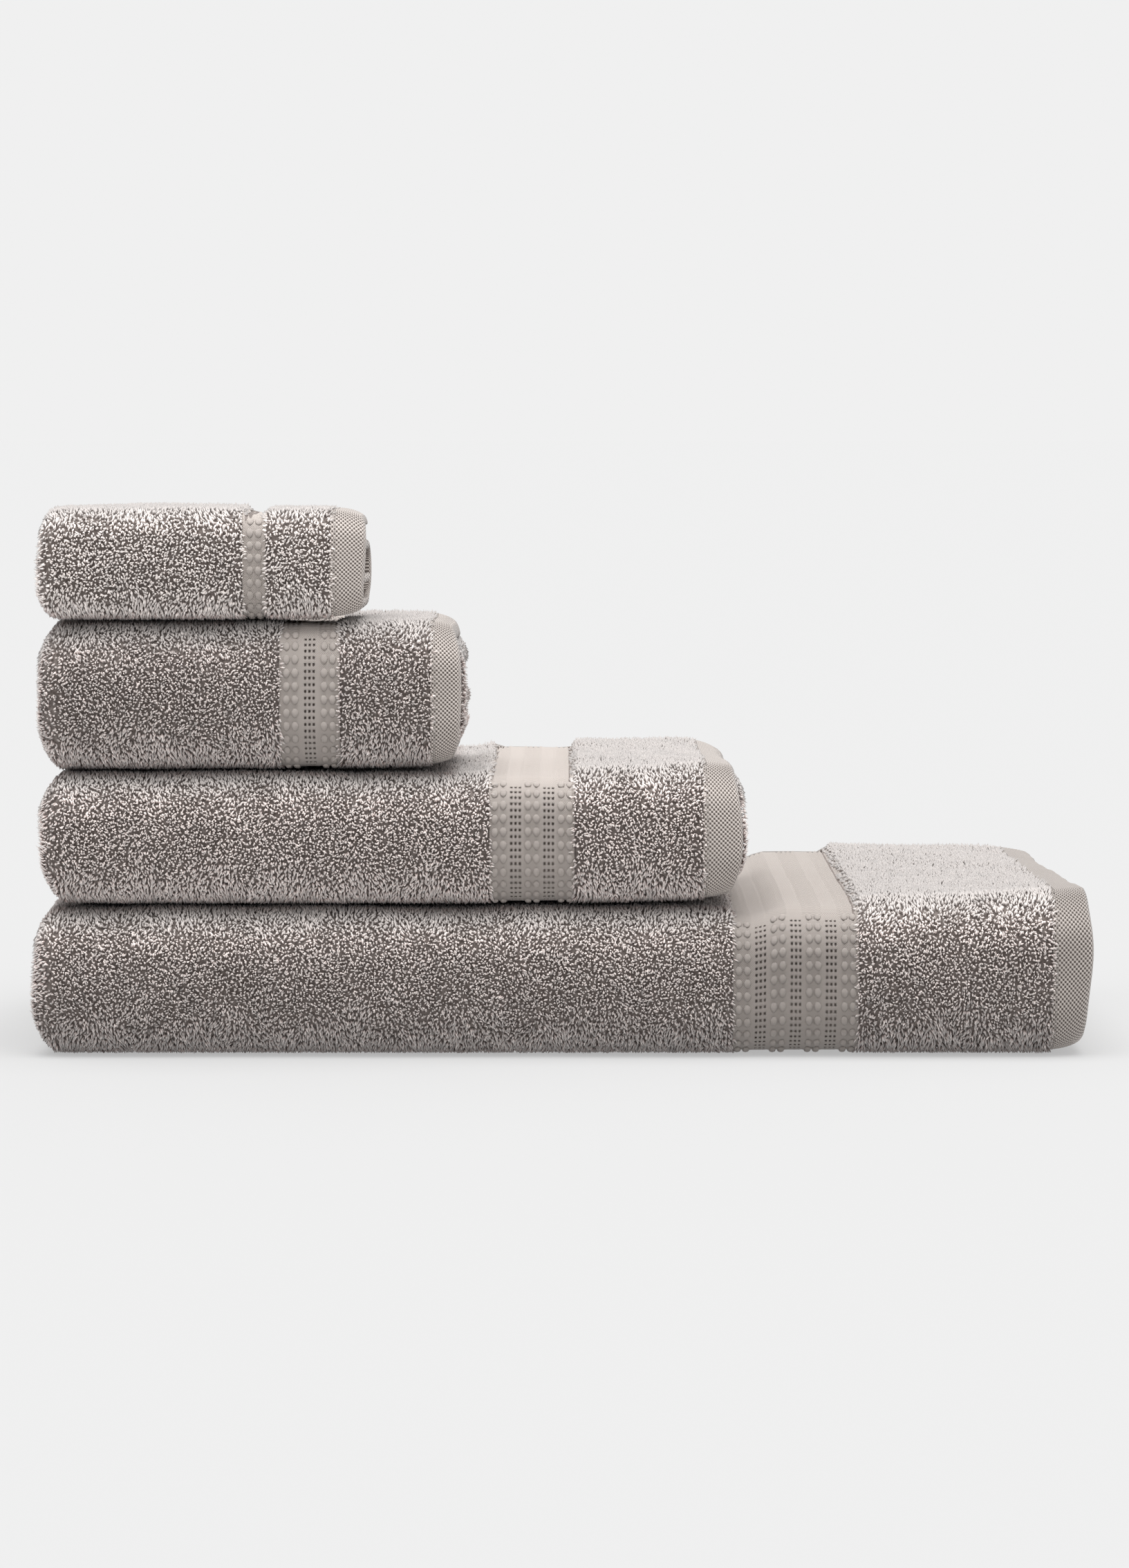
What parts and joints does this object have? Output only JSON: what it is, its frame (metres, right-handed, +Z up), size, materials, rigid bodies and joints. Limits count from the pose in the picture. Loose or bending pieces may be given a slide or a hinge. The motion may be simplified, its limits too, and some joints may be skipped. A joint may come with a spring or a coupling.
{
  "type": "bath towel set",
  "caption": "Stack of folded terry towels in descending sizes, with looped pile, flat woven dobby borders and header hems.",
  "frame": {"origin": "centre of the underside of the bath sheet, on the surface that the stack rests on", "axes": "+X along the bundles from their left folds to their header hems, -Y towards the full-height front folds, +Z up"},
  "size_m": [0.53, 0.333, 0.2749],
  "materials": {
    "terry": "looped cotton pile",
    "woven_border": "flat dobby weave",
    "woven_hem": "flat bird's-eye weave",
    "sewing_thread": "matte thread"
  },
  "bodies": {
    "bath_sheet": {"bath_sheet_main_terry": "terry", "bath_sheet_border": "woven_border", "bath_sheet_end_terry": "terry", "bath_sheet_header_hem": "woven_hem", "bath_sheet_header_thread": "sewing_thread", "bath_sheet_inner_border": "woven_border", "bath_sheet_inner_end_terry": "terry", "bath_sheet_inner_header_hem": "woven_hem", "bath_sheet_inner_header_thread": "sewing_thread", "bath_sheet_back_side_hem": "woven_hem", "bath_sheet_flap_side_hem": "woven_hem"},
    "bath_towel": {"bath_towel_main_terry": "terry", "bath_towel_border": "woven_border", "bath_towel_end_terry": "terry", "bath_towel_header_hem": "woven_hem", "bath_towel_header_thread": "sewing_thread", "bath_towel_inner_border": "woven_border", "bath_towel_inner_end_terry": "terry", "bath_towel_inner_header_hem": "woven_hem", "bath_towel_inner_header_thread": "sewing_thread", "bath_towel_back_side_hem": "woven_hem", "bath_towel_flap_side_hem": "woven_hem"},
    "hand_towel": {"hand_towel_main_terry": "terry", "hand_towel_border": "woven_border", "hand_towel_end_terry": "terry", "hand_towel_header_hem": "woven_hem", "hand_towel_header_thread": "sewing_thread", "hand_towel_inner_border": "woven_border", "hand_towel_inner_end_terry": "terry", "hand_towel_inner_header_hem": "woven_hem", "hand_towel_inner_header_thread": "sewing_thread", "hand_towel_back_side_hem": "woven_hem", "hand_towel_flap_side_hem": "woven_hem"},
    "face_cloth": {"face_cloth_main_terry": "terry", "face_cloth_border": "woven_border", "face_cloth_end_terry": "terry", "face_cloth_header_hem": "woven_hem", "face_cloth_header_thread": "sewing_thread", "face_cloth_inner_border": "woven_border", "face_cloth_inner_end_terry": "terry", "face_cloth_inner_header_hem": "woven_hem", "face_cloth_inner_header_thread": "sewing_thread", "face_cloth_back_side_hem": "woven_hem", "face_cloth_flap_side_hem": "woven_hem"}
  },
  "joints": [
    {"name": "bath_towel_lift", "type": "slide", "parent": "bath_sheet", "child": "bath_towel", "axis": [0, 0, 1], "range_m": [0, 0.12]},
    {"name": "hand_towel_lift", "type": "slide", "parent": "bath_towel", "child": "hand_towel", "axis": [0, 0, 1], "range_m": [0, 0.12]},
    {"name": "face_cloth_lift", "type": "slide", "parent": "hand_towel", "child": "face_cloth", "axis": [0, 0, 1], "range_m": [0, 0.12]}
  ]
}
